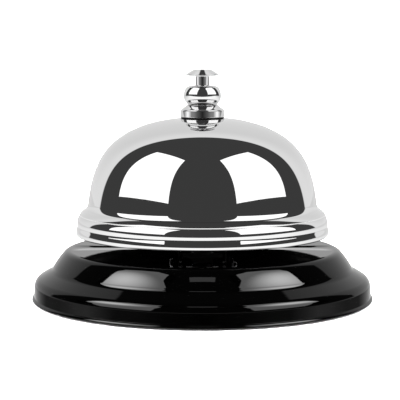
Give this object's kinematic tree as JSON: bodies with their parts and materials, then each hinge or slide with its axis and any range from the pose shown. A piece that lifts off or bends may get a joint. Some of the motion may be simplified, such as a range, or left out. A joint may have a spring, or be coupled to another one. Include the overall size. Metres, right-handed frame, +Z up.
{
  "type": "service bell",
  "caption": "Push-top desk bell: chromed gong on a hollow post over a black base, with a ball finial, mushroom button, return spring and a pivoted hammer inside.",
  "frame": {"origin": "centre of the footprint, on the surface the bell stands on", "axes": "+Z up along the axis of the gong, the post and the plunger; +Y towards the side the hammer swings on"},
  "size_m": [0.0856, 0.0856, 0.0576],
  "materials": {
    "black_enamel": "gloss black baked enamel on steel sheet",
    "gong_chrome": "mirror chrome plate on steel",
    "fitting_chrome": "polished chrome plate on turned brass",
    "zinc_plate": "bright zinc plate on steel sheet",
    "black_zinc": "black passivated zinc plate on steel sheet",
    "bright_steel": "turned bright steel",
    "spring_steel": "oiled spring steel",
    "brass": "plain brass",
    "black_rubber": "soft black rubber",
    "pad_rubber": "fine-textured non-slip foam rubber",
    "red_fibre": "pressed vulcanised fibre"
  },
  "bodies": {
    "stand": {"base_shell": "black_enamel", "base_plate": "zinc_plate", "foot_pad": "pad_rubber", "striker_bracket": "black_zinc", "bracket_rivet_left": "bright_steel", "bracket_rivet_right": "bright_steel", "post": "bright_steel", "post_lock_washer": "spring_steel", "post_nut": "brass", "gong_seat_washer": "red_fibre", "bell_gong": "gong_chrome", "collar_gasket": "black_rubber", "collar": "fitting_chrome", "finial_nut": "fitting_chrome", "return_spring": "spring_steel", "pivot_pin": "bright_steel", "pivot_clip": "spring_steel"},
    "plunger": {"plunger_button": "fitting_chrome", "plunger_rod": "bright_steel", "retaining_clip": "spring_steel", "quiet_washer": "black_rubber"},
    "hammer": {"hammer_arm": "black_zinc", "hammer_head": "bright_steel"}
  },
  "joints": [
    {"name": "plunger_press", "type": "slide", "parent": "stand", "child": "plunger", "axis": [0, 0, -1], "range_m": [0, 0.002], "stiffness_N_per_m": 300, "springref_m": -0.004, "deforming": ["return_spring"]},
    {"name": "hammer_swing", "type": "hinge", "parent": "stand", "child": "hammer", "pos_m": [0, 0.0095, 0.0191], "axis": [1, 0, 0], "range_deg": [0, 12]}
  ],
  "couplings": [
    {"joint": "hammer_swing", "follows": "plunger_press", "rad_per_m": 104.7}
  ]
}
